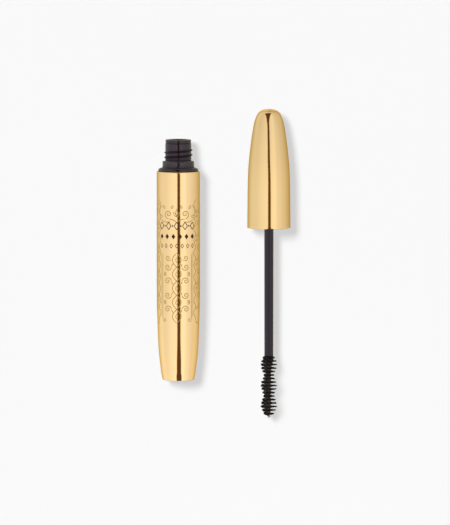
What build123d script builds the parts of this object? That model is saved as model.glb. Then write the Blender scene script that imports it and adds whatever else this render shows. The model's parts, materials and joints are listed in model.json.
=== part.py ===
from build123d import *
import math
import os

# A mascara in two hand-held halves that lie side by side on a flat surface:
# the filled tube with its threaded neck, and the applicator, which is the
# cap, the stem and the brush.  Millimetres, +Z up.  +Y runs from the tube's
# base towards its neck, and both axes are parallel to Y.  The origin is under
# the middle of the pair, on the surface they lie on.

os.makedirs("parts", exist_ok=True)

# ---------------------------------------------------------------- dimensions
body_r = 8.65            # outside radius of the tube and of the cap's mouth
axis_gap = 36.2          # between the tube's axis and the applicator's axis
tube_x = -axis_gap / 2
wand_x = axis_gap / 2

shell_t = 0.50           # drawn aluminium wall of the sleeve and the overcap

sleeve_top = 37.0        # top edge of the sleeve
sleeve_base = -46.55     # plane that the tube stands on
base_recess_r = 4.60
base_recess = 0.25
floor_t = 0.60

shoulder_r = 8.03        # bottle's shoulder, proud of the sleeve
shoulder_top = 38.25
collar_r = 6.34
collar_top = 41.04
neck_r = 5.20            # neck wall, under the thread
neck_bore_r = 4.00
neck_top = 48.24         # where the wiper's flange sits
bottle_r = 7.40          # bottle body inside the sleeve
bottle_locate_r = 8.10   # the band that centres the bottle in the sleeve
chamber_r = 6.30         # inside of the bottle
chamber_floor = -36.9
chamber_top = 33.0

thread_pitch = 1.94      # single start, right hand
thread_turns = 2.0
thread_crest_r = 5.70
thread_start = 42.11     # height of the first crest point, on the -Z side

wiper_flange_r = 5.10
wiper_top = 49.75
wiper_plug_r = 3.95
wiper_bore_r = 3.20
orifice_r = 1.95
orifice_low = 34.2
orifice_high = 35.4

cap_apex = 61.96
cap_mouth = 14.36
seal_plane = 26.76       # where the neck's rim meets the liner when closed
liner_t = 0.90
liner_r = 5.82
liner_bore_r = 1.92
socket_r = 5.87          # inside of the inner cap's skirt
skirt_r = 7.00
inner_mouth = 14.90
deck_low = 27.70
deck_high = 30.00
hub_r = 4.20
hub_top = 37.2
hub_bore_r = 2.43
cap_thread_r = 5.36
cap_thread_start = 18.30

stem_r_top = 1.86
stem_r_low = 1.80
stem_end = -37.0
root_r = 2.40
root_top = 36.4
wire_hole_r = 0.58
wire_hole_depth = 12.5

strand_r = 0.28          # one wire, folded and twisted on itself
strand_offset = 0.265
wire_end = -61.96
twist_pitch = 2.82       # one full left-hand turn of the twisted pair
wire_top = stem_end + wire_hole_depth - 0.2

brush_top = -37.25
brush_end = -61.2
brush_bore_r = 0.60

# Half-profiles, (radius, y).
sleeve_taper = [(8.65, -11.0), (8.60, -16.2), (8.46, -21.5), (8.27, -27.5),
                (8.06, -32.6), (7.80, -36.2), (7.48, -39.2), (7.13, -42.0),
                (6.74, -44.6), (6.36, -46.35)]
cap_profile = [(0.0, 61.96), (1.9, 61.78), (3.15, 61.32), (4.2, 60.46),
               (5.02, 59.1), (5.66, 57.4), (6.24, 54.9), (6.72, 52.1),
               (7.17, 49.0), (7.55, 45.8), (7.90, 42.6), (8.24, 38.6),
               (8.43, 34.6), (8.54, 29.8), (8.60, 22.5), (8.65, 14.36)]
brush_profile = [(1.55, -37.25), (2.60, -38.0), (3.02, -39.3), (3.18, -40.6),
                 (3.00, -41.9), (2.50, -43.3), (2.05, -44.5), (2.30, -46.0),
                 (2.85, -47.5), (3.22, -48.9), (3.05, -50.2), (2.55, -51.6),
                 (2.15, -52.9), (2.60, -54.4), (3.05, -55.9), (3.14, -57.2),
                 (2.80, -58.6), (2.25, -59.9), (1.30, -61.2)]

tube_plane = Plane(origin=(tube_x, 0, body_r), x_dir=(1, 0, 0), z_dir=(0, 0, 1))
wand_plane = Plane(origin=(wand_x, 0, body_r), x_dir=(1, 0, 0), z_dir=(0, 0, 1))
tube_axis = Axis((tube_x, 0, body_r), (0, 1, 0))
wand_axis = Axis((wand_x, 0, body_r), (0, 1, 0))


def inset(points, t):
    """The same half-profile, t further in, measured square to the curve."""
    out = []
    for i, (r, y) in enumerate(points):
        a = points[max(i - 1, 0)]
        b = points[min(i + 1, len(points) - 1)]
        dr, dy = b[0] - a[0], b[1] - a[1]
        n = math.hypot(dr, dy)
        out.append((r + t * dy / n, y - t * dr / n))
    return out


def corner(sketch, r, y):
    """The profile's corner nearest to (r, y) in its own plane."""
    return min(sketch.vertices(), key=lambda v: (v.X - r) ** 2 + (v.Y - y) ** 2)


# ------------------------------------------------------------- the tube side
# Outer sleeve: one drawn shell, closed at the base, with a long taper.
taper_in = inset(sleeve_taper, shell_t)
taper_in = [(r, y) for r, y in taper_in if y > sleeve_base + floor_t + 0.15]
taper_in[0] = (body_r - shell_t, sleeve_taper[0][1])
base_r = 6.15
with BuildPart() as outer_sleeve:
    with BuildSketch(tube_plane) as sleeve_sketch:
        with BuildLine():
            Line((body_r, sleeve_top), (body_r, sleeve_taper[0][1]))
            Spline(sleeve_taper, tangents=[(0, -1), (-0.19, -1)])
            RadiusArc(sleeve_taper[-1], (base_r, sleeve_base), 0.24)
            Polyline((base_r, sleeve_base), (base_recess_r, sleeve_base),
                     (base_recess_r - base_recess, sleeve_base + base_recess),
                     (0, sleeve_base + base_recess),
                     (0, sleeve_base + base_recess + floor_t),
                     (base_recess_r, sleeve_base + base_recess + floor_t),
                     (base_recess_r + 0.25, sleeve_base + floor_t),
                     (5.72, sleeve_base + floor_t),
                     taper_in[-1])
            Spline(list(reversed(taper_in)), tangents=[(0.19, 1), (0, 1)])
            Polyline(taper_in[0], (body_r - shell_t, sleeve_top),
                     (body_r, sleeve_top))
        make_face()
    revolve(axis=tube_axis)
    rim = outer_sleeve.edges().filter_by(GeomType.CIRCLE).group_by(Axis.Y)[-1]
    fillet(rim.sort_by(SortBy.RADIUS)[-1], radius=0.22)
outer_sleeve.part.label = "outer_sleeve"

# Ridge of the neck's thread, swept as its own piece and joined to the bottle.
with BuildPart() as neck_ridge:
    with BuildLine() as neck_helix:
        Helix(pitch=thread_pitch, height=thread_pitch * thread_turns,
              radius=neck_r, center=(0, 0, 0), direction=(0, 0, 1))
    with BuildSketch(Plane.XZ) as neck_ridge_sketch:
        with BuildLine():
            Polyline((neck_r - 0.40, -0.56), (thread_crest_r - 0.10, -0.16),
                     (thread_crest_r, -0.06), (thread_crest_r, 0.06),
                     (thread_crest_r - 0.10, 0.16), (neck_r - 0.40, 0.56), close=True)
        make_face()
    sweep(path=neck_helix.wires()[0], is_frenet=True)

# The helix above starts on +X of its own frame.  On the bottle it starts at
# the back of the neck, facing the surface that the tube lies on.
neck_thread_plane = Plane(origin=(tube_x, thread_start, body_r),
                          x_dir=(0, 0, -1), z_dir=(0, 1, 0))

# Inner bottle: moulded body, shoulder, collar and threaded neck.
with BuildPart() as inner_bottle:
    with BuildSketch(tube_plane) as bottle_sketch:
        with BuildLine():
            Polyline((4.85, sleeve_base + floor_t), (5.45, sleeve_base + floor_t),
                     (5.60, -45.5), (5.60, -40.2), (6.45, -37.6), (6.90, -34.5),
                     (7.25, -29.0), (bottle_r, -24.0), (bottle_r, 24.0),
                     (bottle_locate_r, 25.0), (bottle_locate_r, 36.7),
                     (shoulder_r, 36.9), (shoulder_r, shoulder_top),
                     (collar_r + 0.16, shoulder_top + 0.05),
                     (collar_r, 39.2), (collar_r, collar_top),
                     (neck_r, collar_top), (neck_r, neck_top),
                     (neck_bore_r, neck_top), (neck_bore_r, 44.9),
                     (neck_bore_r + 0.25, 44.7), (neck_bore_r + 0.25, 44.1),
                     (neck_bore_r, 43.9), (neck_bore_r, 35.6),
                     (chamber_r, chamber_top), (chamber_r, -31.0),
                     (5.0, -36.4), (0, chamber_floor), (0, -38.2),
                     (4.85, -38.2), close=True)
        make_face()
        fillet(corner(bottle_sketch, shoulder_r, shoulder_top), radius=0.80)
        fillet(corner(bottle_sketch, collar_r, collar_top), radius=0.22)
        fillet(corner(bottle_sketch, collar_r + 0.16, shoulder_top + 0.05), radius=0.18)
        fillet(corner(bottle_sketch, neck_r, neck_top), radius=0.30)
        fillet(corner(bottle_sketch, neck_r, collar_top), radius=0.30)
    revolve(axis=tube_axis)
    add(neck_thread_plane.location * neck_ridge.part)
inner_bottle.part.label = "inner_bottle"

# Wiper: soft insert that snaps into the neck and strips the brush.
with BuildPart() as wiper:
    with BuildSketch(tube_plane) as wiper_sketch:
        with BuildLine():
            Polyline((wiper_flange_r, neck_top), (wiper_flange_r, wiper_top),
                     (wiper_bore_r + 0.55, wiper_top),
                     (wiper_bore_r, wiper_top - 0.75), (wiper_bore_r, 40.0),
                     (orifice_r, orifice_high), (orifice_r, orifice_low),
                     (orifice_r + 0.42, orifice_low), (2.62, 35.0),
                     (wiper_plug_r, 39.6), (wiper_plug_r, 44.0),
                     (wiper_plug_r + 0.22, 44.2), (wiper_plug_r + 0.22, 44.6),
                     (wiper_plug_r, 44.8), (wiper_plug_r, neck_top), close=True)
        make_face()
        fillet(corner(wiper_sketch, wiper_flange_r, wiper_top), radius=0.28)
        fillet(corner(wiper_sketch, wiper_flange_r, neck_top), radius=0.28)
        fillet(corner(wiper_sketch, orifice_r, orifice_low), radius=0.12)
    revolve(axis=tube_axis)
wiper.part.label = "wiper"

# Mascara: what is left in the bottle, with the hollow that the brush made.
with BuildPart() as mascara_formula:
    with BuildSketch(tube_plane):
        with BuildLine():
            Polyline((0, chamber_floor + 0.1), (4.96, -36.3), (6.25, -31.0),
                     (6.25, 24.8), (5.7, 25.5), (4.6, 25.1), (3.4, 23.4),
                     (2.6, 20.0), (2.2, 12.0), (1.9, -2.0), (1.4, -14.0),
                     (0.7, -17.6), (0, -18.6), close=True)
        make_face()
    revolve(axis=tube_axis)
mascara_formula.part.label = "mascara_formula"

# ------------------------------------------------------- the applicator side
# Overcap: bullet-shaped drawn shell.
cap_in = inset(cap_profile, shell_t)
cap_in[0] = (0.0, cap_apex - shell_t)
cap_in[-1] = (body_r - shell_t, cap_mouth)
with BuildPart() as overcap:
    with BuildSketch(wand_plane):
        with BuildLine():
            Spline(cap_profile, tangents=[(1, 0), (0, -1)])
            Line((body_r, cap_mouth), (body_r - shell_t, cap_mouth))
            Spline(list(reversed(cap_in)), tangents=[(0, 1), (-1, 0)])
            Line((0, cap_apex - shell_t), (0, cap_apex))
        make_face()
    revolve(axis=wand_axis)
    cap_rim = overcap.edges().filter_by(GeomType.CIRCLE).group_by(Axis.Y)[0]
    fillet(cap_rim.sort_by(SortBy.RADIUS)[-1], radius=0.20)
overcap.part.label = "overcap"

# Ridge of the inner cap's thread, which engages under the neck's ridge.
with BuildPart() as cap_ridge:
    with BuildLine() as cap_helix:
        Helix(pitch=thread_pitch, height=thread_pitch * thread_turns,
              radius=socket_r, center=(0, 0, 0), direction=(0, 0, 1))
    with BuildSketch(Plane.XZ) as cap_ridge_sketch:
        with BuildLine():
            Polyline((socket_r + 0.40, -0.69), (cap_thread_r, -0.14),
                     (cap_thread_r, 0.14), (socket_r + 0.40, 0.69), close=True)
        make_face()
    sweep(path=cap_helix.wires()[0], is_frenet=True)

cap_thread_plane = Plane(origin=(wand_x, cap_thread_start, body_r),
                         x_dir=(0, 0, -1), z_dir=(0, 1, 0))
cap_rib_plane = Plane(origin=(wand_x, 16.2, body_r), x_dir=(1, 0, 0), z_dir=(0, 1, 0))

# Inner cap: threaded skirt, deck and the hub that holds the stem, with ribs
# that grip the overcap.
with BuildPart() as inner_cap:
    with BuildSketch(wand_plane) as inner_cap_sketch:
        with BuildLine():
            Polyline((socket_r + 0.15, inner_mouth), (8.10, inner_mouth),
                     (8.10, 16.2), (skirt_r, 16.2), (skirt_r, deck_high),
                     (hub_r, deck_high), (hub_r, hub_top), (0, hub_top),
                     (0, root_top + 0.1), (hub_bore_r, root_top + 0.1),
                     (hub_bore_r, deck_low), (socket_r, deck_low),
                     (socket_r, seal_plane - 0.10),
                     (socket_r - 0.20, seal_plane - 0.22),
                     (socket_r - 0.20, seal_plane - 0.42),
                     (socket_r, seal_plane - 0.60),
                     (socket_r, inner_mouth + 0.30), close=True)
        make_face()
    revolve(axis=wand_axis)
    with BuildSketch(cap_rib_plane) as rib_sketch:
        with PolarLocations(7.35, 12):
            Rectangle(1.10, 0.80)
    extrude(amount=deck_high - 16.2)
    add(cap_thread_plane.location * cap_ridge.part)
inner_cap.part.label = "inner_cap"

# Liner: sealing washer, captive on the stem and free to turn in the cap.
with BuildPart() as cap_liner:
    with BuildSketch(wand_plane):
        with BuildLine():
            Polyline((liner_bore_r, seal_plane), (liner_r, seal_plane),
                     (liner_r, seal_plane + liner_t),
                     (liner_bore_r, seal_plane + liner_t), close=True)
        make_face()
    revolve(axis=wand_axis)
cap_liner.part.label = "cap_liner"

# Stem: long tapered rod, with the root in the hub and the wire's hole below.
with BuildPart() as stem:
    with BuildSketch(wand_plane) as stem_sketch:
        with BuildLine():
            Polyline((wire_hole_r, stem_end), (stem_r_low, stem_end),
                     (stem_r_top, 22.0), (stem_r_top, deck_low),
                     (root_r, deck_low), (root_r, root_top), (0, root_top),
                     (0, stem_end + wire_hole_depth),
                     (wire_hole_r, stem_end + wire_hole_depth), close=True)
        make_face()
        fillet(corner(stem_sketch, stem_r_low, stem_end), radius=0.25)
        fillet(corner(stem_sketch, root_r, root_top), radius=0.30)
    revolve(axis=wand_axis)
stem.part.label = "stem"

# Brush wire: the two twisted legs of one folded wire.
wire_length = wire_top - wire_end
wire_turn = math.radians(33.8)
wire_plane = Plane(origin=(wand_x, wire_end, body_r),
                   x_dir=(math.cos(wire_turn), 0, -math.sin(wire_turn)), z_dir=(0, 1, 0))
with BuildSketch(Plane.XY) as wire_section:
    with Locations((strand_offset, 0), (-strand_offset, 0)):
        Circle(strand_r)
twisted_pair = Solid.extrude_linear_with_rotation(
    wire_section.sketch.faces()[0], (0, 0, 0), (0, 0, wire_length),
    -360 * wire_length / twist_pitch)
with BuildPart() as brush_wire:
    add(wire_plane.location * twisted_pair)
brush_wire.part.label = "brush_wire"

# Bristles: the space that the fibres fill, in three bulges.
with BuildPart() as bristles:
    with BuildSketch(wand_plane):
        with BuildLine():
            Spline(brush_profile)
            Polyline(brush_profile[-1], (brush_bore_r, brush_end),
                     (brush_bore_r, brush_top), brush_profile[0])
        make_face()
    revolve(axis=wand_axis)
bristles.part.label = "bristles"

# ------------------------------------------------------------------- exports
export_step(outer_sleeve.part, "parts/outer_sleeve.step")
export_step(inner_bottle.part, "parts/inner_bottle.step")
export_step(wiper.part, "parts/wiper.step")
export_step(mascara_formula.part, "parts/mascara_formula.step")
export_step(overcap.part, "parts/overcap.step")
export_step(inner_cap.part, "parts/inner_cap.step")
export_step(cap_liner.part, "parts/cap_liner.step")
export_step(stem.part, "parts/stem.step")
export_step(brush_wire.part, "parts/brush_wire.step")
export_step(bristles.part, "parts/bristles.step")
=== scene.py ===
import json
import math
import random

import bmesh
import bpy
import numpy as np
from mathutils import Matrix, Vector

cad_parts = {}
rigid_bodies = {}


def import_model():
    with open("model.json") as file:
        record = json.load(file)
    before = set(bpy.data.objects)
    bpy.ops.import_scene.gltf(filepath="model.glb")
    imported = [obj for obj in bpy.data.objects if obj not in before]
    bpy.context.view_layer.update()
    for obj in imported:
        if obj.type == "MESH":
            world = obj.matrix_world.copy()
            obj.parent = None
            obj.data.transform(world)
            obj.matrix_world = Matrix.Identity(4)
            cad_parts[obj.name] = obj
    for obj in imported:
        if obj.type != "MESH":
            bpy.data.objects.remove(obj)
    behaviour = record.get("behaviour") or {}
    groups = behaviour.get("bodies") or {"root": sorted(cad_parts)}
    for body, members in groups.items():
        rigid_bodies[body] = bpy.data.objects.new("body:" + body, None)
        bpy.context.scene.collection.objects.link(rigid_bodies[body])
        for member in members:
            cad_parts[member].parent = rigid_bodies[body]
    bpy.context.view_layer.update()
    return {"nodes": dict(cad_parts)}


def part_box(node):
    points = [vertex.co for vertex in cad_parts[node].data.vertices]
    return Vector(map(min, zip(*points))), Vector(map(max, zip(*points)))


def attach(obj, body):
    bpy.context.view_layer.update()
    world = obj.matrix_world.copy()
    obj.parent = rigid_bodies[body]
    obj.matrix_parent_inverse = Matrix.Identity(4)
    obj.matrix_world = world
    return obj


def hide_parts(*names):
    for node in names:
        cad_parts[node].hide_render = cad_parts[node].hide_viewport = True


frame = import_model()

MM = 0.001
scene = bpy.context.scene

# ------------------------------------------------------------ frame positions
lo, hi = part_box("outer_sleeve")
TX, TZ = (lo.x + hi.x) / 2, (lo.z + hi.z) / 2      # tube axis
lo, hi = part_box("overcap")
WX, WZ = (lo.x + hi.x) / 2, (lo.z + hi.z) / 2      # applicator axis


# -------------------------------------------------------------- mesh building
def clamped_spline(points, t0=None, t1=None, per=10):
    """Points along a C2 cubic through the given ones. t0 and t1 are directions."""
    p = np.array(points, float)
    d = np.linalg.norm(np.diff(p, axis=0), axis=1)
    s = np.concatenate([[0], np.cumsum(d)])
    n = len(p)
    a = np.zeros((n, n))
    b = np.zeros((n, 2))
    h = np.diff(s)
    for i in range(1, n - 1):
        a[i, i - 1] = h[i]
        a[i, i] = 2 * (h[i - 1] + h[i])
        a[i, i + 1] = h[i - 1]
        b[i] = 3 * (h[i] * (p[i] - p[i - 1]) / h[i - 1]
                    + h[i - 1] * (p[i + 1] - p[i]) / h[i])
    if t0 is None:
        a[0, 0], a[0, 1] = 2, 1
        b[0] = 3 * (p[1] - p[0]) / h[0]
    else:
        a[0, 0] = 1
        b[0] = np.array(t0, float) / np.linalg.norm(t0)
    if t1 is None:
        a[-1, -1], a[-1, -2] = 2, 1
        b[-1] = 3 * (p[-1] - p[-2]) / h[-1]
    else:
        a[-1, -1] = 1
        b[-1] = np.array(t1, float) / np.linalg.norm(t1)
    m = np.linalg.solve(a, b)
    out = []
    for i in range(n - 1):
        for k in range(per):
            t = k / per
            h00 = 2 * t**3 - 3 * t**2 + 1
            h10 = t**3 - 2 * t**2 + t
            h01 = -2 * t**3 + 3 * t**2
            h11 = t**3 - t**2
            out.append(h00 * p[i] + h10 * h[i] * m[i] + h01 * p[i + 1] + h11 * h[i] * m[i + 1])
    out.append(p[-1])
    return [tuple(q) for q in out]


def arc(cx, cy, r, a0, a1, n=6):
    """Points on an arc in (radius, y), angles in degrees."""
    return [(cx + r * math.cos(math.radians(a0 + (a1 - a0) * i / n)),
             cy + r * math.sin(math.radians(a0 + (a1 - a0) * i / n))) for i in range(n + 1)]


def finish_mesh(name, verts, faces, body, material, sharp=32.0):
    me = bpy.data.meshes.new(name)
    me.from_pydata(verts, [], faces)
    me.validate()
    bm = bmesh.new()
    bm.from_mesh(me)
    bmesh.ops.recalc_face_normals(bm, faces=bm.faces)
    bm.to_mesh(me)
    bm.free()
    me.shade_smooth()
    if sharp:
        me.set_sharp_from_angle(angle=math.radians(sharp))
    ob = bpy.data.objects.new(name, me)
    scene.collection.objects.link(ob)
    me.materials.append(material)
    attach(ob, body)
    return ob


def lathe(name, profile, cx, cz, body, material, seg=160, closed=True, sharp=32.0, wobble=None):
    """Turns a (radius, y) profile in millimetres about an axis along Y."""
    prof = [profile[0]]
    for q in profile[1:]:
        if math.hypot(q[0] - prof[-1][0], q[1] - prof[-1][1]) > 1e-5:
            prof.append(q)
    if closed and math.hypot(prof[0][0] - prof[-1][0], prof[0][1] - prof[-1][1]) < 1e-5:
        prof.pop()
    verts, rows = [], []
    for r, y in prof:
        if r < 1e-6:
            rows.append([len(verts)])
            verts.append((cx, y * MM, cz))
        else:
            row = []
            for k in range(seg):
                a = 2 * math.pi * k / seg
                rr, yy = (r, y) if wobble is None else wobble(r, y, a)
                row.append(len(verts))
                verts.append((cx + rr * MM * math.sin(a), yy * MM, cz + rr * MM * math.cos(a)))
            rows.append(row)
    faces = []
    pairs = list(zip(rows, rows[1:])) + ([(rows[-1], rows[0])] if closed else [])
    for a, b in pairs:
        if len(a) == 1 and len(b) == 1:
            continue
        for k in range(seg):
            j = (k + 1) % seg
            if len(a) == 1:
                faces.append((a[0], b[j], b[k]))
            elif len(b) == 1:
                faces.append((a[k], a[j], b[0]))
            else:
                faces.append((a[k], a[j], b[j], b[k]))
    return finish_mesh(name, verts, faces, body, material, sharp)


# ------------------------------------------------------------------ materials
def new_material(name):
    m = bpy.data.materials.new(name)
    m.use_nodes = True
    nt = m.node_tree
    bsdf = nt.nodes["Principled BSDF"]
    return m, nt, bsdf


def node(nt, kind, **values):
    n = nt.nodes.new(kind)
    for k, v in values.items():
        if k in n.inputs:
            n.inputs[k].default_value = v
        else:
            setattr(n, k, v)
    return n


def object_coords(nt, scale=(1, 1, 1)):
    tc = nt.nodes.new("ShaderNodeTexCoord")
    mp = nt.nodes.new("ShaderNodeMapping")
    mp.inputs["Scale"].default_value = scale
    nt.links.new(tc.outputs["Object"], mp.inputs["Vector"])
    return mp.outputs["Vector"]


def ramp(nt, fac, stops):
    r = nt.nodes.new("ShaderNodeValToRGB")
    els = r.color_ramp.elements
    while len(els) < len(stops):
        els.new(0.5)
    for e, (pos, col) in zip(els, stops):
        e.position = pos
        e.color = tuple(col) + (1.0,) if len(col) == 3 else col
    nt.links.new(fac, r.inputs["Fac"])
    return r.outputs["Color"]


def noise(nt, vec, scale, detail=3.0, rough=0.5):
    n = node(nt, "ShaderNodeTexNoise", Scale=scale, Detail=detail, Roughness=rough)
    nt.links.new(vec, n.inputs["Vector"])
    return n.outputs["Fac"]


def bump(nt, height, strength, distance, bsdf, previous=None):
    b = node(nt, "ShaderNodeBump", Strength=strength, Distance=distance)
    nt.links.new(height, b.inputs["Height"])
    if previous is not None:
        nt.links.new(previous, b.inputs["Normal"])
    nt.links.new(b.outputs["Normal"], bsdf.inputs["Normal"])
    return b.outputs["Normal"]


def gold_material(name, polish=0.07, tone=1.0, blue=1.0):
    """Polished, gold anodised aluminium: mirror finish, faint drawing lines."""
    m, nt, p = new_material(name)
    p.inputs["Metallic"].default_value = 1.0
    p.inputs["Specular Tint"].default_value = (1.0, 0.74, 0.36, 1.0)
    p.inputs["Anisotropic"].default_value = 0.0
    vec = object_coords(nt)
    cloud = noise(nt, vec, 55.0, 4.0, 0.55)
    col = ramp(nt, cloud, [(0.30, (1.0 * tone, 0.702 * tone, 0.352 * tone * blue)),
                           (0.70, (1.0 * tone, 0.724 * tone, 0.378 * tone * blue))])
    nt.links.new(col, p.inputs["Base Color"])
    # rings left by drawing and polishing, far finer round the tube than along it
    lines = noise(nt, object_coords(nt, (60.0, 9000.0, 60.0)), 1.0, 2.0, 0.6)
    rough = node(nt, "ShaderNodeMapRange")
    rough.inputs["From Min"].default_value = 0.25
    rough.inputs["From Max"].default_value = 0.75
    rough.inputs["To Min"].default_value = polish * 0.8
    rough.inputs["To Max"].default_value = polish * 1.5
    nt.links.new(lines, rough.inputs["Value"])
    nt.links.new(rough.outputs["Result"], p.inputs["Roughness"])
    first = bump(nt, lines, 0.03, 0.00001, p)
    peel = noise(nt, vec, 420.0, 2.0, 0.5)
    bump(nt, peel, 0.03, 0.00003, p, first)
    return m


def plastic_material(name, colour, rough_lo, rough_hi, grain=2600.0, grain_strength=0.05, ior=1.5,
                     shine=0.5, along=None, painted_shade_reach=0.0, flank_painted_shade=0.0, thread_painted_shade=None):
    """Moulded plastic: fine spark-eroded grain, uneven gloss, faint colour drift, and optionally painted shade that
    dims the shine in grooves, corners, steps and on the thread.
    """
    m, nt, p = new_material(name)
    p.inputs["IOR"].default_value = ior
    p.inputs["Specular IOR Level"].default_value = shine
    p.inputs["Specular Tint"].default_value = (1.0, 0.87, 1.0, 1.0)
    vec = object_coords(nt)
    cloud = noise(nt, vec, 190.0, 4.0, 0.6)
    dark = tuple(c * 0.82 for c in colour)
    light = tuple(min(1.0, c * 1.22) for c in colour)
    nt.links.new(ramp(nt, cloud, [(0.3, dark), (0.7, light)]), p.inputs["Base Color"])
    fine = noise(nt, vec, grain, 2.0, 0.6)
    rr = node(nt, "ShaderNodeMapRange")
    rr.inputs["From Min"].default_value = 0.3
    rr.inputs["From Max"].default_value = 0.7
    rr.inputs["To Min"].default_value = rough_lo
    rr.inputs["To Max"].default_value = rough_hi
    nt.links.new(cloud, rr.inputs["Value"])
    nt.links.new(rr.outputs["Result"], p.inputs["Roughness"])
    first = bump(nt, fine, grain_strength, 0.00002, p)
    if painted_shade_reach:
        # painted shade: ambient occlusion dims the shine in grooves and inside corners, standing in for the black
        # plastic they would reflect
        ao = node(nt, "ShaderNodeAmbientOcclusion", Distance=painted_shade_reach)
        ao.samples = 12
        shade = node(nt, "ShaderNodeMapRange")
        shade.inputs["From Min"].default_value = 0.64
        shade.inputs["From Max"].default_value = 0.95
        shade.inputs["To Min"].default_value = shine * 0.04
        shade.inputs["To Max"].default_value = shine
        nt.links.new(ao.outputs["AO"], shade.inputs["Value"])
        # painted shade: faces turned along the tube's axis, such as steps and thread flanks, shine less, standing in
        # for the shade under the ridges
        face = node(nt, "ShaderNodeSeparateXYZ")
        nt.links.new(node(nt, "ShaderNodeTexCoord").outputs["Normal"], face.inputs[0])
        flank_shade = node(nt, "ShaderNodeMapRange")
        flank_shade.inputs["From Min"].default_value = 0.42
        flank_shade.inputs["From Max"].default_value = 0.72
        flank_shade.inputs["To Min"].default_value = 1.0
        flank_shade.inputs["To Max"].default_value = 1.0 - flank_painted_shade
        nt.links.new(face.outputs["Y"], flank_shade.inputs["Value"])
        level = node(nt, "ShaderNodeMath", operation="MULTIPLY")
        nt.links.new(shade.outputs["Result"], level.inputs[0])
        nt.links.new(flank_shade.outputs["Result"], level.inputs[1])
        if thread_painted_shade:
            # painted shade: the threaded stretch shines less, and the ridge of the thread less still, drawing the dark
            # lines along the thread
            cx, cz, low, wall, thread_wall_shade, thread_ridge_shade = thread_painted_shade
            place = node(nt, "ShaderNodeSeparateXYZ")
            nt.links.new(node(nt, "ShaderNodeTexCoord").outputs["Object"], place.inputs[0])

            def calc(op, *args):
                n = node(nt, "ShaderNodeMath", operation=op)
                for i, v in enumerate(args):
                    if isinstance(v, float):
                        n.inputs[i].default_value = v
                    else:
                        nt.links.new(v, n.inputs[i])
                return n.outputs[0]

            out2 = calc("ADD", calc("POWER", calc("SUBTRACT", place.outputs["X"], cx), 2.0),
                        calc("POWER", calc("SUBTRACT", place.outputs["Z"], cz), 2.0))
            zone = node(nt, "ShaderNodeMapRange")
            zone.inputs["From Min"].default_value = low
            zone.inputs["From Max"].default_value = low + 0.0002
            zone.inputs["To Min"].default_value = 0.0
            zone.inputs["To Max"].default_value = 1.0
            nt.links.new(place.outputs["Y"], zone.inputs["Value"])
            ridge = node(nt, "ShaderNodeMapRange")
            ridge.inputs["From Min"].default_value = wall ** 2
            ridge.inputs["From Max"].default_value = (wall + 0.00012) ** 2
            ridge.inputs["To Min"].default_value = thread_wall_shade
            ridge.inputs["To Max"].default_value = thread_ridge_shade
            nt.links.new(out2, ridge.inputs["Value"])
            ease = calc("SUBTRACT", 1.0, calc("MULTIPLY", zone.outputs["Result"],
                                             calc("SUBTRACT", 1.0, ridge.outputs["Result"])))
            level2 = node(nt, "ShaderNodeMath", operation="MULTIPLY")
            nt.links.new(level.outputs[0], level2.inputs[0])
            nt.links.new(ease, level2.inputs[1])
            # the collar's ledge below it is spared part of this painted shade
            off = calc("ABSOLUTE", calc("SUBTRACT", place.outputs["Y"], low - 0.00016))
            ledge = calc("MAXIMUM", calc("SUBTRACT", 1.0, calc("DIVIDE", off, 0.00036)), 0.0)
            level = node(nt, "ShaderNodeMath", operation="MAXIMUM")
            nt.links.new(level2.outputs[0], level.inputs[0])
            nt.links.new(calc("MULTIPLY", ledge, 0.42), level.inputs[1])
        nt.links.new(level.outputs[0], p.inputs["Specular IOR Level"])
        dull = node(nt, "ShaderNodeMapRange")
        dull.inputs["From Min"].default_value = 0.60
        dull.inputs["From Max"].default_value = 0.90
        dull.inputs["To Min"].default_value = 0.60
        dull.inputs["To Max"].default_value = 0.0
        nt.links.new(ao.outputs["AO"], dull.inputs["Value"])
        both_r = node(nt, "ShaderNodeMath", operation="ADD")
        nt.links.new(rr.outputs["Result"], both_r.inputs[0])
        nt.links.new(dull.outputs["Result"], both_r.inputs[1])
        nt.links.new(both_r.outputs[0], p.inputs["Roughness"])
    if along:
        streak = noise(nt, object_coords(nt, along), 1.0, 2.0, 0.5)
        bump(nt, streak, 0.06, 0.00002, p, first)
    return m


gold = gold_material("gold_anodised", 0.065)
gold_cap = gold_material("gold_anodised_cap", 0.065, 0.935, 0.955)
# the black plastic and the wiper carry painted shade in grooves and corners, and the black plastic also on steps and on
# the neck's thread
black_pp = plastic_material("black_moulded", (0.0074, 0.0038, 0.0060), 0.060, 0.105, shine=0.86, painted_shade_reach=0.0030,
                            flank_painted_shade=0.88, thread_painted_shade=(TX, TZ, 41.25 * MM, 5.24 * MM, 0.78, 0.28))
wiper_mat = plastic_material("soft_wiper", (0.0082, 0.0046, 0.0068), 0.12, 0.20, grain=1500.0, shine=0.6, painted_shade_reach=0.0013)
stem_mat = plastic_material("stem_satin", (0.0045, 0.0034, 0.0047), 0.08, 0.13, grain=2200.0,
                            shine=0.50, along=(900.0, 40.0, 900.0))

formula_mat, nt, p = new_material("mascara_paste")
vec = object_coords(nt)
lump = noise(nt, vec, 900.0, 5.0, 0.6)
nt.links.new(ramp(nt, lump, [(0.3, (0.0022, 0.0014, 0.0015)), (0.75, (0.0072, 0.0046, 0.0048))]),
             p.inputs["Base Color"])
p.inputs["Specular IOR Level"].default_value = 0.045
p.inputs["Coat Weight"].default_value = 0.01
p.inputs["Coat Roughness"].default_value = 0.12
wet = node(nt, "ShaderNodeMapRange")
wet.inputs["To Min"].default_value = 0.18
wet.inputs["To Max"].default_value = 0.45
nt.links.new(lump, wet.inputs["Value"])
nt.links.new(wet.outputs["Result"], p.inputs["Roughness"])
bump(nt, lump, 0.5, 0.0001, p)

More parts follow.
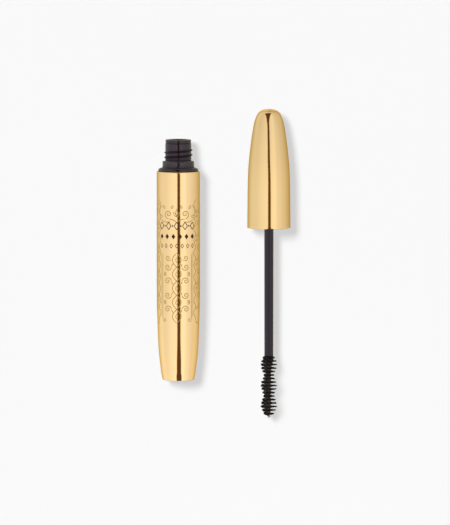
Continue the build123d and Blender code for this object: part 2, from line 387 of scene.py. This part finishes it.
liner_mat, nt, p = new_material("liner_foam")
vec = object_coords(nt)
cells = node(nt, "ShaderNodeTexVoronoi", Scale=5200.0)
nt.links.new(vec, cells.inputs["Vector"])
nt.links.new(ramp(nt, cells.outputs["Distance"], [(0.0, (0.62, 0.61, 0.58)), (0.5, (0.80, 0.79, 0.77))]),
             p.inputs["Base Color"])
fr = node(nt, "ShaderNodeMapRange")
fr.inputs["To Min"].default_value = 0.6
fr.inputs["To Max"].default_value = 0.8
nt.links.new(cells.outputs["Distance"], fr.inputs["Value"])
nt.links.new(fr.outputs["Result"], p.inputs["Roughness"])
bump(nt, cells.outputs["Distance"], 0.4, 0.00004, p)

wire_mat, nt, p = new_material("drawn_wire")
p.inputs["Metallic"].default_value = 1.0
vec = object_coords(nt)
scratch = noise(nt, object_coords(nt, (4000.0, 300.0, 4000.0)), 1.0, 3.0, 0.6)
nt.links.new(ramp(nt, scratch, [(0.3, (0.52, 0.44, 0.42)), (0.7, (0.80, 0.70, 0.66))]),
             p.inputs["Base Color"])
wr = node(nt, "ShaderNodeMapRange")
wr.inputs["To Min"].default_value = 0.22
wr.inputs["To Max"].default_value = 0.42
nt.links.new(scratch, wr.inputs["Value"])
nt.links.new(wr.outputs["Result"], p.inputs["Roughness"])
bump(nt, scratch, 0.15, 0.00002, p)

bristle_mat, nt, p = new_material("nylon_fibre")
p.inputs["Specular IOR Level"].default_value = 0.07
p.inputs["Specular Tint"].default_value = (1.0, 0.80, 0.80, 1.0)
vec = object_coords(nt)
tone = noise(nt, vec, 1300.0, 3.0, 0.6)
nt.links.new(ramp(nt, tone, [(0.3, (0.0022, 0.0014, 0.0014)), (0.75, (0.0075, 0.0048, 0.0050))]),
             p.inputs["Base Color"])
br = node(nt, "ShaderNodeMapRange")
br.inputs["To Min"].default_value = 0.28
br.inputs["To Max"].default_value = 0.52
nt.links.new(tone, br.inputs["Value"])
nt.links.new(br.outputs["Result"], p.inputs["Roughness"])
bump(nt, noise(nt, vec, 6000.0, 2.0, 0.5), 0.2, 0.00001, p)

etch_mat, nt, p = new_material("etched_line")
p.inputs["Metallic"].default_value = 0.85
vec = object_coords(nt)
patina = noise(nt, vec, 700.0, 4.0, 0.6)
nt.links.new(ramp(nt, patina, [(0.3, (0.490, 0.325, 0.102)), (0.7, (0.590, 0.400, 0.138))]),
             p.inputs["Base Color"])
er = node(nt, "ShaderNodeMapRange")
er.inputs["To Min"].default_value = 0.45
er.inputs["To Max"].default_value = 0.65
nt.links.new(patina, er.inputs["Value"])
nt.links.new(er.outputs["Result"], p.inputs["Roughness"])
bump(nt, noise(nt, vec, 5000.0, 2.0, 0.6), 0.3, 0.00001, p)

etch_dark, nt, p = new_material("etched_line_dark")
p.inputs["Metallic"].default_value = 0.6
vec = object_coords(nt)
patina = noise(nt, vec, 900.0, 4.0, 0.6)
nt.links.new(ramp(nt, patina, [(0.3, (0.17, 0.100, 0.036)), (0.7, (0.25, 0.150, 0.055))]),
             p.inputs["Base Color"])
er = node(nt, "ShaderNodeMapRange")
er.inputs["To Min"].default_value = 0.45
er.inputs["To Max"].default_value = 0.65
nt.links.new(patina, er.inputs["Value"])
nt.links.new(er.outputs["Result"], p.inputs["Roughness"])
bump(nt, noise(nt, vec, 5000.0, 2.0, 0.6), 0.3, 0.00001, p)

ink_mat, nt, p = new_material("dark_ink")
p.inputs["Specular IOR Level"].default_value = 0.10
vec = object_coords(nt)
inky = noise(nt, vec, 1500.0, 4.0, 0.6)
nt.links.new(ramp(nt, inky, [(0.3, (0.020, 0.011, 0.006)), (0.7, (0.045, 0.026, 0.014))]),
             p.inputs["Base Color"])
ir = node(nt, "ShaderNodeMapRange")
ir.inputs["To Min"].default_value = 0.35
ir.inputs["To Max"].default_value = 0.55
nt.links.new(inky, ir.inputs["Value"])
nt.links.new(ir.outputs["Result"], p.inputs["Roughness"])
bump(nt, inky, 0.2, 0.00001, p)


# ------------------------------------------------------------ the gold sleeve
taper = [(8.65, -11.0), (8.60, -16.2), (8.46, -21.5), (8.27, -27.5), (8.06, -32.6),
         (7.80, -36.2), (7.48, -39.2), (7.13, -42.0), (6.74, -44.6), (6.36, -46.35)]
taper_curve = clamped_spline(taper, (0, -1), (-0.19, -1), 8)


def sleeve_r(y):
    if y >= -11.0:
        return 8.65
    pts = taper_curve
    for a, b in zip(pts, pts[1:]):
        if b[1] <= y <= a[1]:
            f = (a[1] - y) / (a[1] - b[1])
            return a[0] + f * (b[0] - a[0])
    return pts[-1][0]


outer = []
outer += [(8.15, 36.90), (8.20, 36.98), (8.30, 37.0)]
outer += arc(8.43, 36.78, 0.22, 90, 0, 8)
outer += [(8.65, y) for y in (36.0, 33.0, 28.0, 22.0, 16.0, 10.0, 4.0, -2.0, -7.0)]
outer += taper_curve
outer += [(6.35, -46.42), (6.31, -46.49), (6.24, -46.535), (6.15, -46.55),
          (5.2, -46.55), (4.66, -46.55), (4.58, -46.53), (4.38, -46.34), (4.30, -46.31), (4.0, -46.30),
          (2.0, -46.30), (0, -46.30), (0, -45.70), (4.3, -45.70), (4.8, -45.95), (5.5, -45.95)]
inner = [(r - 0.50, y) for r, y in reversed(taper_curve) if y > -45.5]
outer += inner
outer += [(8.15, 20.0)]
sleeve = lathe("gold_sleeve", outer, TX, TZ, "tube", gold, seg=192, sharp=40.0)
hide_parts("outer_sleeve")

# ------------------------------------------------------------ the gold overcap
cap_profile = [(0.0, 61.96), (1.9, 61.78), (3.15, 61.32), (4.2, 60.46), (5.02, 59.1), (5.66, 57.4),
               (6.24, 54.9), (6.72, 52.1), (7.17, 49.0), (7.55, 45.8), (7.90, 42.6), (8.24, 38.6),
               (8.43, 34.6), (8.54, 29.8), (8.60, 22.5), (8.65, 14.58)]
cap_curve = clamped_spline(cap_profile, (1, 0), (0, -1), 8)
cap_in = []
for i, (r, y) in enumerate(cap_curve):
    a, b = cap_curve[max(i - 1, 0)], cap_curve[min(i + 1, len(cap_curve) - 1)]
    dr, dy = b[0] - a[0], b[1] - a[1]
    n = math.hypot(dr, dy)
    cap_in.append((max(0.0, r + 0.5 * dy / n), y - 0.5 * dr / n))
cap_in[0] = (0.0, 61.46)
prof = list(cap_curve)
prof += arc(8.45, 14.56, 0.20, 0, -90, 8)[1:]
prof += [(8.32, 14.36), (8.22, 14.37), (8.16, 14.43), (8.15, 14.55)]
prof += list(reversed(cap_in))[1:]
cap = lathe("gold_overcap", prof, WX, WZ, "applicator", gold_cap, seg=192, closed=False, sharp=40.0)
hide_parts("overcap")

# ---------------------------------------------------------- materials on CAD
for name, mat in (("inner_bottle", black_pp), ("inner_cap", black_pp), ("wiper", wiper_mat),
                  ("stem", stem_mat), ("cap_liner", liner_mat)):
    ob = frame["nodes"][name]
    ob.data.materials.clear()
    ob.data.materials.append(mat)

# --------------------------------------------------------------- the scrollwork
PHASE = -0.60       # the pattern's middle sits a little left of the tube's front


def wrap(u, v, h):
    r = sleeve_r(v)
    a = u / r
    return (TX + (r + h) * MM * math.sin(a), v * MM, TZ + (r + h) * MM * math.cos(a))


def smooth_path(points, per=7):
    """Catmull-Rom through the points."""
    p = [np.array(q, float) for q in points]
    p = [2 * p[0] - p[1]] + p + [2 * p[-1] - p[-2]]
    out = []
    for i in range(1, len(p) - 2):
        a, b, c, d = p[i - 1], p[i], p[i + 1], p[i + 2]
        for k in range(per):
            t = k / per
            out.append(0.5 * ((2 * b) + (-a + c) * t + (2 * a - 5 * b + 4 * c - d) * t**2
                              + (-a + 3 * b - 3 * c + d) * t**3))
    out.append(p[-2])
    return out


def spiral(cx, cy, r0, r1, a0, a1, n=22):
    """A scroll that winds from radius r0 at angle a0 to r1 at a1, in degrees."""
    out = []
    for i in range(n + 1):
        t = i / n
        r = r0 * (r1 / r0) ** t
        a = math.radians(a0 + (a1 - a0) * t)
        out.append((cx + r * math.cos(a), cy + r * math.sin(a)))
    return out


class Ribbons:
    """Fine raised lines laid on the sleeve, gathered into one mesh."""

    def __init__(self):
        self.v, self.f = [], []

    def stroke(self, pts, width, top=0.022, taper_ends=True, closed=False, widths=None):
        pts = [np.array(q, float) for q in pts]
        n = len(pts)
        length = [0.0]
        for a, b in zip(pts, pts[1:]):
            length.append(length[-1] + float(np.linalg.norm(b - a)))
        total = max(length[-1], 1e-6)
        base = len(self.v)
        for i, q in enumerate(pts):
            a = pts[i - 1] if (i > 0 or closed) else pts[0]
            b = pts[(i + 1) % n] if (i < n - 1 or closed) else pts[-1]
            d = b - a
            d = d / max(np.linalg.norm(d), 1e-9)
            nrm = np.array([-d[1], d[0]])
            w = width / 2 if widths is None else widths[i] / 2
            if taper_ends and not closed and widths is None:
                e = min(length[i], total - length[i]) / min(0.9, total * 0.3)
                w *= 0.30 + 0.70 * min(1.0, max(0.0, e)) ** 0.7
            for off, h in ((-w, -0.012), (-0.62 * w, top), (0.62 * w, top), (w, -0.012)):
                u, v = q + nrm * off
                self.v.append(wrap(u, v, h))
        rows = n if closed else n - 1
        for i in range(rows):
            j = (i + 1) % n
            for k in range(4):
                k2 = (k + 1) % 4
                self.f.append((base + 4 * i + k, base + 4 * i + k2, base + 4 * j + k2, base + 4 * j + k))
        if not closed:
            self.f.append((base, base + 1, base + 2, base + 3))
            e = base + 4 * (n - 1)
            self.f.append((e + 3, e + 2, e + 1, e))

    def lozenge(self, u, v, a, b):
        """A filled diamond, 2a wide and 2b tall."""
        ts = np.linspace(-1, 1, 13)
        self.stroke([(u + a * t, v) for t in ts], 0, widths=[2 * b * (1 - abs(t)) + 0.04 for t in ts])


lines = Ribbons()
ink = Ribbons()
W = 0.40


def both(pts, centre, width=W, echo=None):
    """The stroke and its mirror image about the motif's middle line."""
    for s in (1, -1):
        q = [(centre + s * x, y) for x, y in pts]
        lines.stroke(q, width)
        if echo:
            p = [np.array(a, float) for a in q]
            e = []
            for i, a in enumerate(p):
                d = p[min(i + 1, len(p) - 1)] - p[max(i - 1, 0)]
                d = d / max(np.linalg.norm(d), 1e-9)
                e.append(a + s * echo * np.array([-d[1], d[0]]))
            lines.stroke(e[2:-2], width * 0.62)


def leaf(u, v, length, angle, fat=0.34, width=W * 0.8):
    """A pointed leaf, outlined, with its base at (u, v)."""
    a = math.radians(angle)
    d = np.array([math.cos(a), math.sin(a)])
    n = np.array([-d[1], d[0]])
    o = np.array([u, v])
    for s in (1, -1):
        lines.stroke(smooth_path([o, o + d * length * 0.35 + n * s * fat, o + d * length * 0.75 + n * s * fat * 0.7,
                                  o + d * length], 5), width)


def front_motif(c):
    # plain filigree above the band: back-to-back scrolls and a palmette
    both(smooth_path([(0.1, 17.2), (1.0, 17.9), (2.2, 18.35), (3.4, 18.45)]), c)
    both(spiral(3.4, 20.4, 1.95, 0.34, -90, -90 + 560, 44), c)
    both(smooth_path([(2.6, 17.45), (4.2, 17.2), (5.8, 17.45), (6.9, 18.2)]), c, W * 0.9)
    both(spiral(6.9, 19.3, 1.10, 0.28, -90, -90 + 430), c, W * 0.85)
    both(smooth_path([(8.0, 19.5), (8.1, 21.2), (7.5, 22.8), (6.5, 24.0)]), c, W * 0.9)
    for ln, a in ((3.4, 90), (2.5, 58), (2.5, 122)):
        leaf(c, 19.2, ln, a)
    for s in (1, -1):
        leaf(c + s * 5.0, 22.4, 1.8, 90 - s * 35)
        leaf(c + s * 2.2, 22.6, 1.5, 90 + s * 30)
    # below it, a chain of pointed links with a leaf in each and a curl at each crossing
    step = 5.64
    for s in (1, -1):
        chain = [(s * 1.75 * math.sin(math.pi * (4.9 - y) / step), y) for y in np.linspace(4.9, -23.3, 110)]
        lines.stroke([(c + x, y) for x, y in chain], W * 0.9)
    for k in range(5):
        leaf(c, 4.9 - step * (k + 0.5) - 1.1, 2.2, 90, 0.36)
    for k in range(1, 5):
        y = 4.9 - step * k
        turn = 1 if k % 2 else -1
        both(smooth_path([(1.24, y + turn * 1.41), (1.8, y + turn * 0.95), (2.1, y + turn * 0.05)]), c, W * 0.9)
        both(spiral(3.75, y, 1.65, 0.32, 180, 180 + turn * 540, 40), c)
        for s in (1, -1):
            leaf(c + s * 4.6, y - turn * 1.95, 1.5, turn * (s * 35 - 90))
    both(spiral(3.6, 2.9, 1.35, 0.30, 200, 200 + 500, 34), c, W * 0.9)
    # plain double border down each side, ending in a curl
    both([(6.25, y) for y in np.linspace(4.6, -21.9, 40)], c, W * 0.9)
    both([(6.95, y) for y in np.linspace(5.4, -21.0, 40)], c, W * 0.6)
    both(spiral(5.35, -21.9, 0.90, 0.26, 0, -430), c, W * 0.85)


def side_column(c):
    # a waving stem with curls to alternate sides, between two bowed uprights
    wave = [(1.5 * math.sin((24.0 - y) * 2 * math.pi / 9.6), y) for y in np.linspace(24.0, -22.6, 90)]
    lines.stroke([(c + x, y) for x, y in wave], W)
    for s in (1, -1):
        rail = [(s * (5.55 + 0.55 * math.cos((24.0 - y) * 2 * math.pi / 4.8)), y) for y in np.linspace(26.2, -22.4, 150)]
        lines.stroke([(c + x, y) for x, y in rail], W)
        tail = smooth_path([(s * 5.0, -22.3), (s * 4.3, -23.3), (s * 3.2, -23.4), (s * 2.4, -22.5), (s * 2.3, -21.2)])
        lines.stroke([(c + x, y) for x, y in tail], W)
    k = 0
    y = 21.6
    while y > -21.5:
        s = 1 if k % 2 == 0 else -1
        lines.stroke([(c + s * 2.6 + s * q[0], y + q[1]) for q in spiral(0, 0, 1.75, 0.32, 150, 150 + 520, 30)], W)
        leaf(c - s * 1.1, y - 1.6, 2.3, 90 + s * 55, 0.42)
        leaf(c - s * 1.2, y + 0.9, 2.1, 90 + s * 120, 0.42)
        leaf(c + s * 5.2, y + 2.3, 1.7, 90 + s * 70, 0.34)
        leaf(c - s * 5.2, y - 0.1, 1.7, 90 - s * 110, 0.34)
        y -= 4.8
        k += 1


half = math.pi * 8.65
front_motif(PHASE)
front_motif(PHASE + half)
side_column(PHASE + half / 2)
side_column(PHASE - half / 2)

# three plain rows of lozenges and dots in the band between the scrolls
def open_lozenge(group, u, v, a, b, width):
    ring = []
    for k in range(4):
        p0 = np.array([(a, 0), (0, b), (-a, 0), (0, -b)][k], float)
        p1 = np.array([(a, 0), (0, b), (-a, 0), (0, -b)][(k + 1) % 4], float)
        ring += [(u + q[0], v + q[1]) for q in (p0 + (p1 - p0) * t for t in (0.04, 0.35, 0.65, 0.96))]
    group.stroke(ring, width, closed=True)


faint = Ribbons()
for c in (PHASE, PHASE + half):
    for k in range(-2, 3):
        open_lozenge(ink, c + 3.35 * k, 15.7, 1.02, 1.52, 0.36)
    for k in (-1.5, -0.5, 0.5, 1.5):
        ink.lozenge(c + 3.35 * k, 15.7, 0.38, 0.48)
    for k in (-2.5, -1.5, -0.5, 0.5, 1.5, 2.5):
        ink.lozenge(c + 2.68 * k, 11.45, 0.80, 1.28)
    for k in range(-3, 4):
        open_lozenge(faint, c + 2.25 * k, 7.7, 0.55, 0.88, 0.30)

scrolls = finish_mesh("sleeve_scrollwork", lines.v, lines.f, "tube", etch_mat, 50.0)
dividers = finish_mesh("sleeve_dividers", ink.v, ink.f, "tube", ink_mat, 50.0)
small_row = finish_mesh("sleeve_small_row", faint.v, faint.f, "tube", etch_dark, 50.0)


# -------------------------------------------------------------- mascara paste
def paste_wobble(r, y, a):
    k = 0.10 * math.sin(3 * a + y * 0.9) + 0.07 * math.sin(5 * a - y * 1.7)
    if y > 24.0 or r < 4.0:
        return (max(0.02, r + k), y + (0.25 * math.sin(2 * a + 0.6) + 0.12 * math.sin(7 * a) if y > 21 else 0))
    return (r, y)


paste_prof = [(0, -36.8), (4.96, -36.3), (6.25, -31.0), (6.25, 0.0), (6.25, 24.2), (6.1, 25.0), (5.5, 25.3), (4.6, 25.0),
              (3.9, 24.2), (3.4, 23.0), (2.9, 21.4), (2.6, 19.6), (2.4, 17.0), (2.2, 12.0), (2.05, 5.0), (1.9, -2.0),
              (1.6, -9.0), (1.3, -14.0), (0.8, -17.2), (0, -18.4)]
paste = lathe("mascara_paste_fill", paste_prof, TX, TZ, "tube", formula_mat, seg=72, closed=False, wobble=paste_wobble)
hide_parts("mascara_formula")


# ------------------------------------------------------------------ the brush
def tube_along(verts, faces, pts, radii, sides):
    """Adds a closed tube through pts (arrays, metres) with the given radii."""
    base = len(verts)
    n = len(pts)
    ref = None
    for i, q in enumerate(pts):
        d = pts[min(i + 1, n - 1)] - pts[max(i - 1, 0)]
        d = d / np.linalg.norm(d)
        if ref is None:
            ref = np.cross(d, (0.31, 0.87, 0.38))
        ref = ref - d * np.dot(ref, d)
        ref = ref / np.linalg.norm(ref)
        side = np.cross(d, ref)
        for k in range(sides):
            a = 2 * math.pi * k / sides
            verts.append(tuple(q + radii[i] * (math.cos(a) * ref + math.sin(a) * side)))
    for i in range(n - 1):
        for k in range(sides):
            j = (k + 1) % sides
            faces.append((base + i * sides + k, base + i * sides + j, base + (i + 1) * sides + j, base + (i + 1) * sides + k))
    faces.append(tuple(base + k for k in reversed(range(sides))))
    faces.append(tuple(base + (n - 1) * sides + k for k in range(sides)))


PITCH = 2.82
BRUSH_TOP, BRUSH_END = -36.95, -61.25
WIRE_TOP, WIRE_END = -24.8, -61.96
brush_radius = clamped_spline([(-36.9, 1.85), (-37.9, 2.50), (-39.3, 3.02), (-40.6, 3.18), (-41.9, 3.00), (-43.3, 2.50),
                               (-44.5, 2.08), (-46.0, 2.32), (-47.5, 2.85), (-48.9, 3.20), (-50.2, 3.05),
                               (-51.6, 2.55), (-52.9, 2.16), (-54.4, 2.60), (-55.9, 3.03), (-57.2, 3.12),
                               (-58.6, 2.80), (-59.9, 2.25), (-61.25, 1.35)], None, None, 4)
brush_ys = np.array([q[0] for q in brush_radius])[::-1]
brush_rs = np.array([q[1] for q in brush_radius])[::-1]


def brush_r(y):
    return float(np.interp(y, brush_ys, brush_rs))


def twist(y):
    """Angle of the twisted pair at height y. The twist is left handed."""
    return 0.59 - 2 * math.pi * (y - WIRE_END) / PITCH


def at(y, r, a):
    return np.array((WX + r * MM * math.cos(a), y * MM, WZ - r * MM * math.sin(a)))


verts, faces = [], []
for side in (0, 1):
    pts, radii = [], []
    n = 320
    for i in range(n + 1):
        y = WIRE_TOP + (WIRE_END + 0.12 - WIRE_TOP) * i / n
        a = twist(y) + math.pi * side
        pts.append(at(y, 0.27, a))
        radii.append(0.275 * MM)
    tip = pts[-1] - pts[-2]
    tip = tip / np.linalg.norm(tip)
    pts.append(pts[-1] + np.array((0, -0.06 * MM, 0)))
    radii.append(0.24 * MM)
    pts.append(pts[-1] + np.array((0, -0.04 * MM, 0)))
    radii.append(0.16 * MM)
    tube_along(verts, faces, pts, radii, 12)
wire = finish_mesh("twisted_wire", verts, faces, "applicator", wire_mat, 60.0)
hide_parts("brush_wire")

rng = random.Random(20611)
verts, faces = [], []
count = 1150
for i in range(count):
    y = BRUSH_TOP + (BRUSH_END - BRUSH_TOP) * (i + rng.uniform(-0.4, 0.4)) / (count - 1)
    y = min(BRUSH_TOP, max(BRUSH_END, y))
    # fibres coated with paste stick together, so their angles bunch up
    step = PITCH / 18
    tuft = round((y - WIRE_END) / step)
    y_t = WIRE_END + tuft * step
    y_root = y_t + (y - y_t) * 0.75
    a = twist(y_root) + rng.gauss(0, 0.05)
    for s in (0, 1):
        ang = a + math.pi * s
        tuft_rng = random.Random(tuft * 7 + s * 131 + 5)
        lean = tuft_rng.gauss(0, 0.04) + rng.uniform(-0.21, 0.21)
        r_end = brush_r(y_root) * (1 + tuft_rng.gauss(0, 0.022) + rng.gauss(0, 0.015))
        curl = tuft_rng.gauss(0, 0.04) + rng.uniform(-0.12, 0.12)
        pts, radii = [], []
        for k in range(5):
            t = k / 4
            r = 0.10 + (r_end - 0.10) * t
            pts.append(at(y_root + lean * t * t, r, ang + curl * t * t))
            radii.append((0.095 - 0.018 * t**2) * MM)
        pts.append(pts[-1] + (pts[-1] - pts[-2]) / np.linalg.norm(pts[-1] - pts[-2]) * 0.04 * MM)
        radii.append(0.024 * MM)
        tube_along(verts, faces, pts, radii, 5)
fibres = finish_mesh("bristle_fibres", verts, faces, "applicator", bristle_mat, 0)
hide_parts("bristles")

# paste left on the wire and in the roots of the fibres, twisted with them
verts, faces = [], []
collar = clamped_spline([(-36.86, 1.70), (-37.2, 1.92), (-37.8, 2.05), (-38.6, 1.98), (-39.4, 1.66), (-40.4, 1.25),
                         (-42.0, 0.90), (-45.0, 0.70), (-61.5, 0.62)], None, None, 4)
collar_ys = np.array([q[0] for q in collar])[::-1]
collar_rs = np.array([q[1] for q in collar])[::-1]
seg, n = 28, 300
for i in range(n + 1):
    y = BRUSH_TOP + 0.06 + (BRUSH_END + 0.30 - BRUSH_TOP) * i / n
    a0 = twist(y)
    end = min(1.0, 8.0 * (n - i) / n + 0.15)
    short_r = float(np.interp(y, collar_ys, collar_rs))
    long_r = max(short_r, (0.55 * brush_r(y) + 0.20) * end)
    for k in range(seg):
        a = 2 * math.pi * k / seg
        lump = 1 + 0.10 * math.sin(3.1 * y + 4 * a) + 0.07 * math.sin(7.3 * y - 3 * a)
        rr = (short_r + (long_r - short_r) * abs(math.cos(a)) ** 2.2) * (lump if i > 4 else 1.0)
        verts.append(tuple(at(y, rr, a0 + a)))
for i in range(n):
    for k in range(seg):
        j = (k + 1) % seg
        faces.append((i * seg + k, i * seg + j, (i + 1) * seg + j, (i + 1) * seg + k))
faces.append(tuple(reversed(range(seg))))
faces.append(tuple(n * seg + k for k in range(seg)))
residue = finish_mesh("paste_on_brush", verts, faces, "applicator", formula_mat, 0)

# --------------------------------------------------------------- stage, light
me = bpy.data.meshes.new("floor")
me.from_pydata([(-6, -6, 0), (6, -6, 0), (6, 6, 0), (-6, 6, 0)], [], [(0, 1, 2, 3)])
floor = bpy.data.objects.new("floor", me)
scene.collection.objects.link(floor)
floor_mat, nt, p = new_material("pale_floor")
vec = object_coords(nt)
nt.links.new(ramp(nt, noise(nt, vec, 3.0, 2.0, 0.5), [(0.3, (0.817, 0.827, 0.843)), (0.7, (0.823, 0.833, 0.849))]),
             p.inputs["Base Color"])
p.inputs["Roughness"].default_value = 1.0
p.inputs["Specular IOR Level"].default_value = 0.0
me.materials.append(floor_mat)

world = bpy.data.worlds.new("studio")
scene.world = world
world.use_nodes = True
nt = world.node_tree
for n in list(nt.nodes):
    nt.nodes.remove(n)


def m2(op, a, b=None, c=None, clamp=False):
    n = nt.nodes.new("ShaderNodeMath")
    n.operation = op
    n.use_clamp = clamp
    for i, v in enumerate((a, b, c)):
        if v is None:
            continue
        if isinstance(v, (int, float)):
            n.inputs[i].default_value = v
        else:
            nt.links.new(v, n.inputs[i])
    return n.outputs[0]


tc = nt.nodes.new("ShaderNodeTexCoord")
sep = nt.nodes.new("ShaderNodeSeparateXYZ")
nt.links.new(tc.outputs["Generated"], sep.inputs[0])
dx, dy, dz = sep.outputs
up = m2("MAXIMUM", dz, 0.0)
south = m2("MAXIMUM", m2("MULTIPLY", dy, -1.0), 0.0)
north = m2("MAXIMUM", dy, 0.0)
# dark gap between two long softboxes, overhead, wider towards its ends
# and closed again just above the horizon
width_s = m2("MINIMUM", m2("MULTIPLY", m2("POWER", south, 1.4), 0.55), 0.19)
width_n = m2("MULTIPLY", m2("POWER", north, 3.1), 0.48)
width = m2("ADD", m2("MULTIPLY", up, 0.112), m2("ADD", width_s, width_n))
centre = m2("ADD", m2("MULTIPLY", up, 0.040), m2("MULTIPLY", south, 0.09))
centre = m2("SUBTRACT", centre, m2("MULTIPLY", m2("MINIMUM", north, 0.45), 0.35))
edge = m2("SUBTRACT", m2("ABSOLUTE", m2("SUBTRACT", dx, centre)), width)
open_sky = m2("DIVIDE", m2("ADD", edge, 0.032), 0.064, clamp=True)     # 0 in the dark gap, 1 in the soft light
card = m2("MULTIPLY", m2("DIVIDE", m2("SUBTRACT", 0.20, dz), 0.07, clamp=True),
          m2("MULTIPLY", m2("SUBTRACT", north, 0.1), 6.0, clamp=True))
open_sky = m2("MAXIMUM", open_sky, card)
# its edges turn warm before they turn dark
warm = [open_sky]
for shift in (0.003, 0.014):
    side = m2("DIVIDE", m2("ADD", edge, 0.032 - shift), 0.064, clamp=True)
    warm.append(m2("MAXIMUM", side, card))
# brightness by the angle from overhead, across the boxes
turn = m2("ADD", m2("DIVIDE", m2("ARCTAN2", dx, dz), 2 * math.pi), 0.5)
SKY = [(-180, 0.50), (-150, 0.58), (-130, 0.69), (-116, 0.79), (-103, 0.85), (-90, 0.865), (-74, 0.87), (-60, 0.905),
       (-55, 0.935), (-43, 0.975), (-32, 1.01), (-21, 1.035), (0, 1.045), (12, 1.045), (16, 1.05), (22, 1.075), (27, 1.10),
       (32.5, 1.10), (38, 1.055), (44, 0.985), (49.5, 0.93), (61, 0.905), (68, 0.87), (74, 0.835), (88, 0.80), (96, 0.78),
       (110, 0.70), (123, 0.62), (140, 0.55), (153, 0.49), (180, 0.46)]
cr = nt.nodes.new("ShaderNodeValToRGB")
els = cr.color_ramp.elements
while len(els) < len(SKY):
    els.new(0.5)
for e, (deg, v) in zip(els, SKY):
    low = min(1.0, max(0.0, (abs(deg) - 72) / 40))
    e.position = deg / 360 + 0.5
    far = min(1.0, max(0.0, (deg - 74) / 22))       # the right-hand box is warmer at its outer end
    e.color = (v / 1.25, v / 1.25 * (1 + 0.015 * low) * (1 - 0.06 * far),
               v / 1.25 * (1 - 0.03 * low) * (1 - 0.18 * far), 1.0)
nt.links.new(turn, cr.inputs["Fac"])
tone = nt.nodes.new("ShaderNodeSeparateColor")
nt.links.new(cr.outputs["Color"], tone.inputs[0])
below = m2("MULTIPLY", dz, -3.0, clamp=True)
ends = m2("DIVIDE", m2("SUBTRACT", south, 0.35), 0.40, clamp=True)
ends_dim = m2("SUBTRACT", 1.0, m2("MULTIPLY", m2("MULTIPLY", below, ends), 0.68))
tilt_gain = m2("ADD", 0.975, m2("MULTIPLY", south, 0.33))
tilt_gain = m2("SUBTRACT", tilt_gain, m2("MULTIPLY", m2("MINIMUM", north, 0.27), 0.36))
# the sides lift a little as soon as a wall leans away from upright
lateral = m2("DIVIDE", m2("SUBTRACT", 0.08, dz), 0.50, clamp=True)
lean_s = m2("MULTIPLY", m2("MULTIPLY", m2("SUBTRACT", south, 0.088), 30.0, clamp=True),
            m2("ADD", 0.18, m2("MULTIPLY", dx, 0.02)))
lean_n = m2("MULTIPLY", m2("MULTIPLY", m2("SUBTRACT", north, 0.10), 5.0, clamp=True), 0.20)
lift = m2("ADD", 1.0, m2("MULTIPLY", lateral, m2("ADD", lean_s, lean_n)))
# the floor straight below is bright too
under = m2("DIVIDE", m2("SUBTRACT", 0.38, m2("ABSOLUTE", dx)), 0.20, clamp=True)
deep = m2("DIVIDE", m2("SUBTRACT", -0.50, dz), 0.40, clamp=True)
under = m2("MULTIPLY", m2("MULTIPLY", under, deep), m2("MULTIPLY", m2("ADD", dy, 0.15), 5.0, clamp=True))
lift = m2("MULTIPLY", lift, m2("ADD", 1.0, m2("MULTIPLY", under, 0.75)))
gain = m2("MULTIPLY", m2("MULTIPLY", ends_dim, lift), m2("MULTIPLY", 1.25, tilt_gain))
gap = m2("SUBTRACT", 1.0, open_sky)
comb = nt.nodes.new("ShaderNodeCombineColor")
for i, dim in enumerate((0.112, 0.054, 0.030)):
    lit = m2("MULTIPLY", m2("MULTIPLY", tone.outputs[i], gain), warm[i])
    nt.links.new(m2("ADD", lit, m2("MULTIPLY", gap, dim)), comb.inputs[i])
bg = nt.nodes.new("ShaderNodeBackground")
nt.links.new(comb.outputs[0], bg.inputs["Color"])
plain = nt.nodes.new("ShaderNodeBackground")
plain.inputs["Color"].default_value = (0.93, 0.93, 0.93, 1.0)
lp = nt.nodes.new("ShaderNodeLightPath")
mix = nt.nodes.new("ShaderNodeMixShader")
nt.links.new(lp.outputs["Is Camera Ray"], mix.inputs[0])
nt.links.new(bg.outputs[0], mix.inputs[1])
nt.links.new(plain.outputs[0], mix.inputs[2])
out = nt.nodes.new("ShaderNodeOutputWorld")
nt.links.new(mix.outputs[0], out.inputs["Surface"])

key = bpy.data.lights.new("key", "SUN")
key.energy = 1.39
key.angle = math.radians(15.5)
key_ob = bpy.data.objects.new("key", key)
scene.collection.objects.link(key_ob)
key_ob.rotation_euler = Vector((-0.33, 0.30, 1.0)).to_track_quat("Z", "Y").to_euler()
key_ob.visible_glossy = False

# --------------------------------------------------------------------- camera
DIST = 2.5
TILT = math.radians(4.6)
target = Vector((0.00056, 0.00044, TZ))
cam = bpy.data.cameras.new("camera")
cam.sensor_fit = "VERTICAL"
cam.sensor_height = 36.0
cam.lens = 36.0 * DIST / 0.210
cam.clip_start = 0.1
cam.clip_end = 50.0
cam_ob = bpy.data.objects.new("camera", cam)
scene.collection.objects.link(cam_ob)
cam_ob.location = target + Vector((0.0, math.sin(TILT), math.cos(TILT))) * DIST
cam_ob.rotation_euler = (-TILT, 0.0, 0.0)
scene.camera = cam_ob

# the boxes and the floor light each piece evenly, with no coloured bounce
world.cycles.sampling_method = "NONE"
floor.visible_glossy = False
for ob in scene.objects:
    if ob.type == "MESH" and ob is not floor:
        ob.visible_diffuse = False
        ob.visible_glossy = False
scene.view_settings.view_transform = "Standard"
scene.view_settings.look = "None"
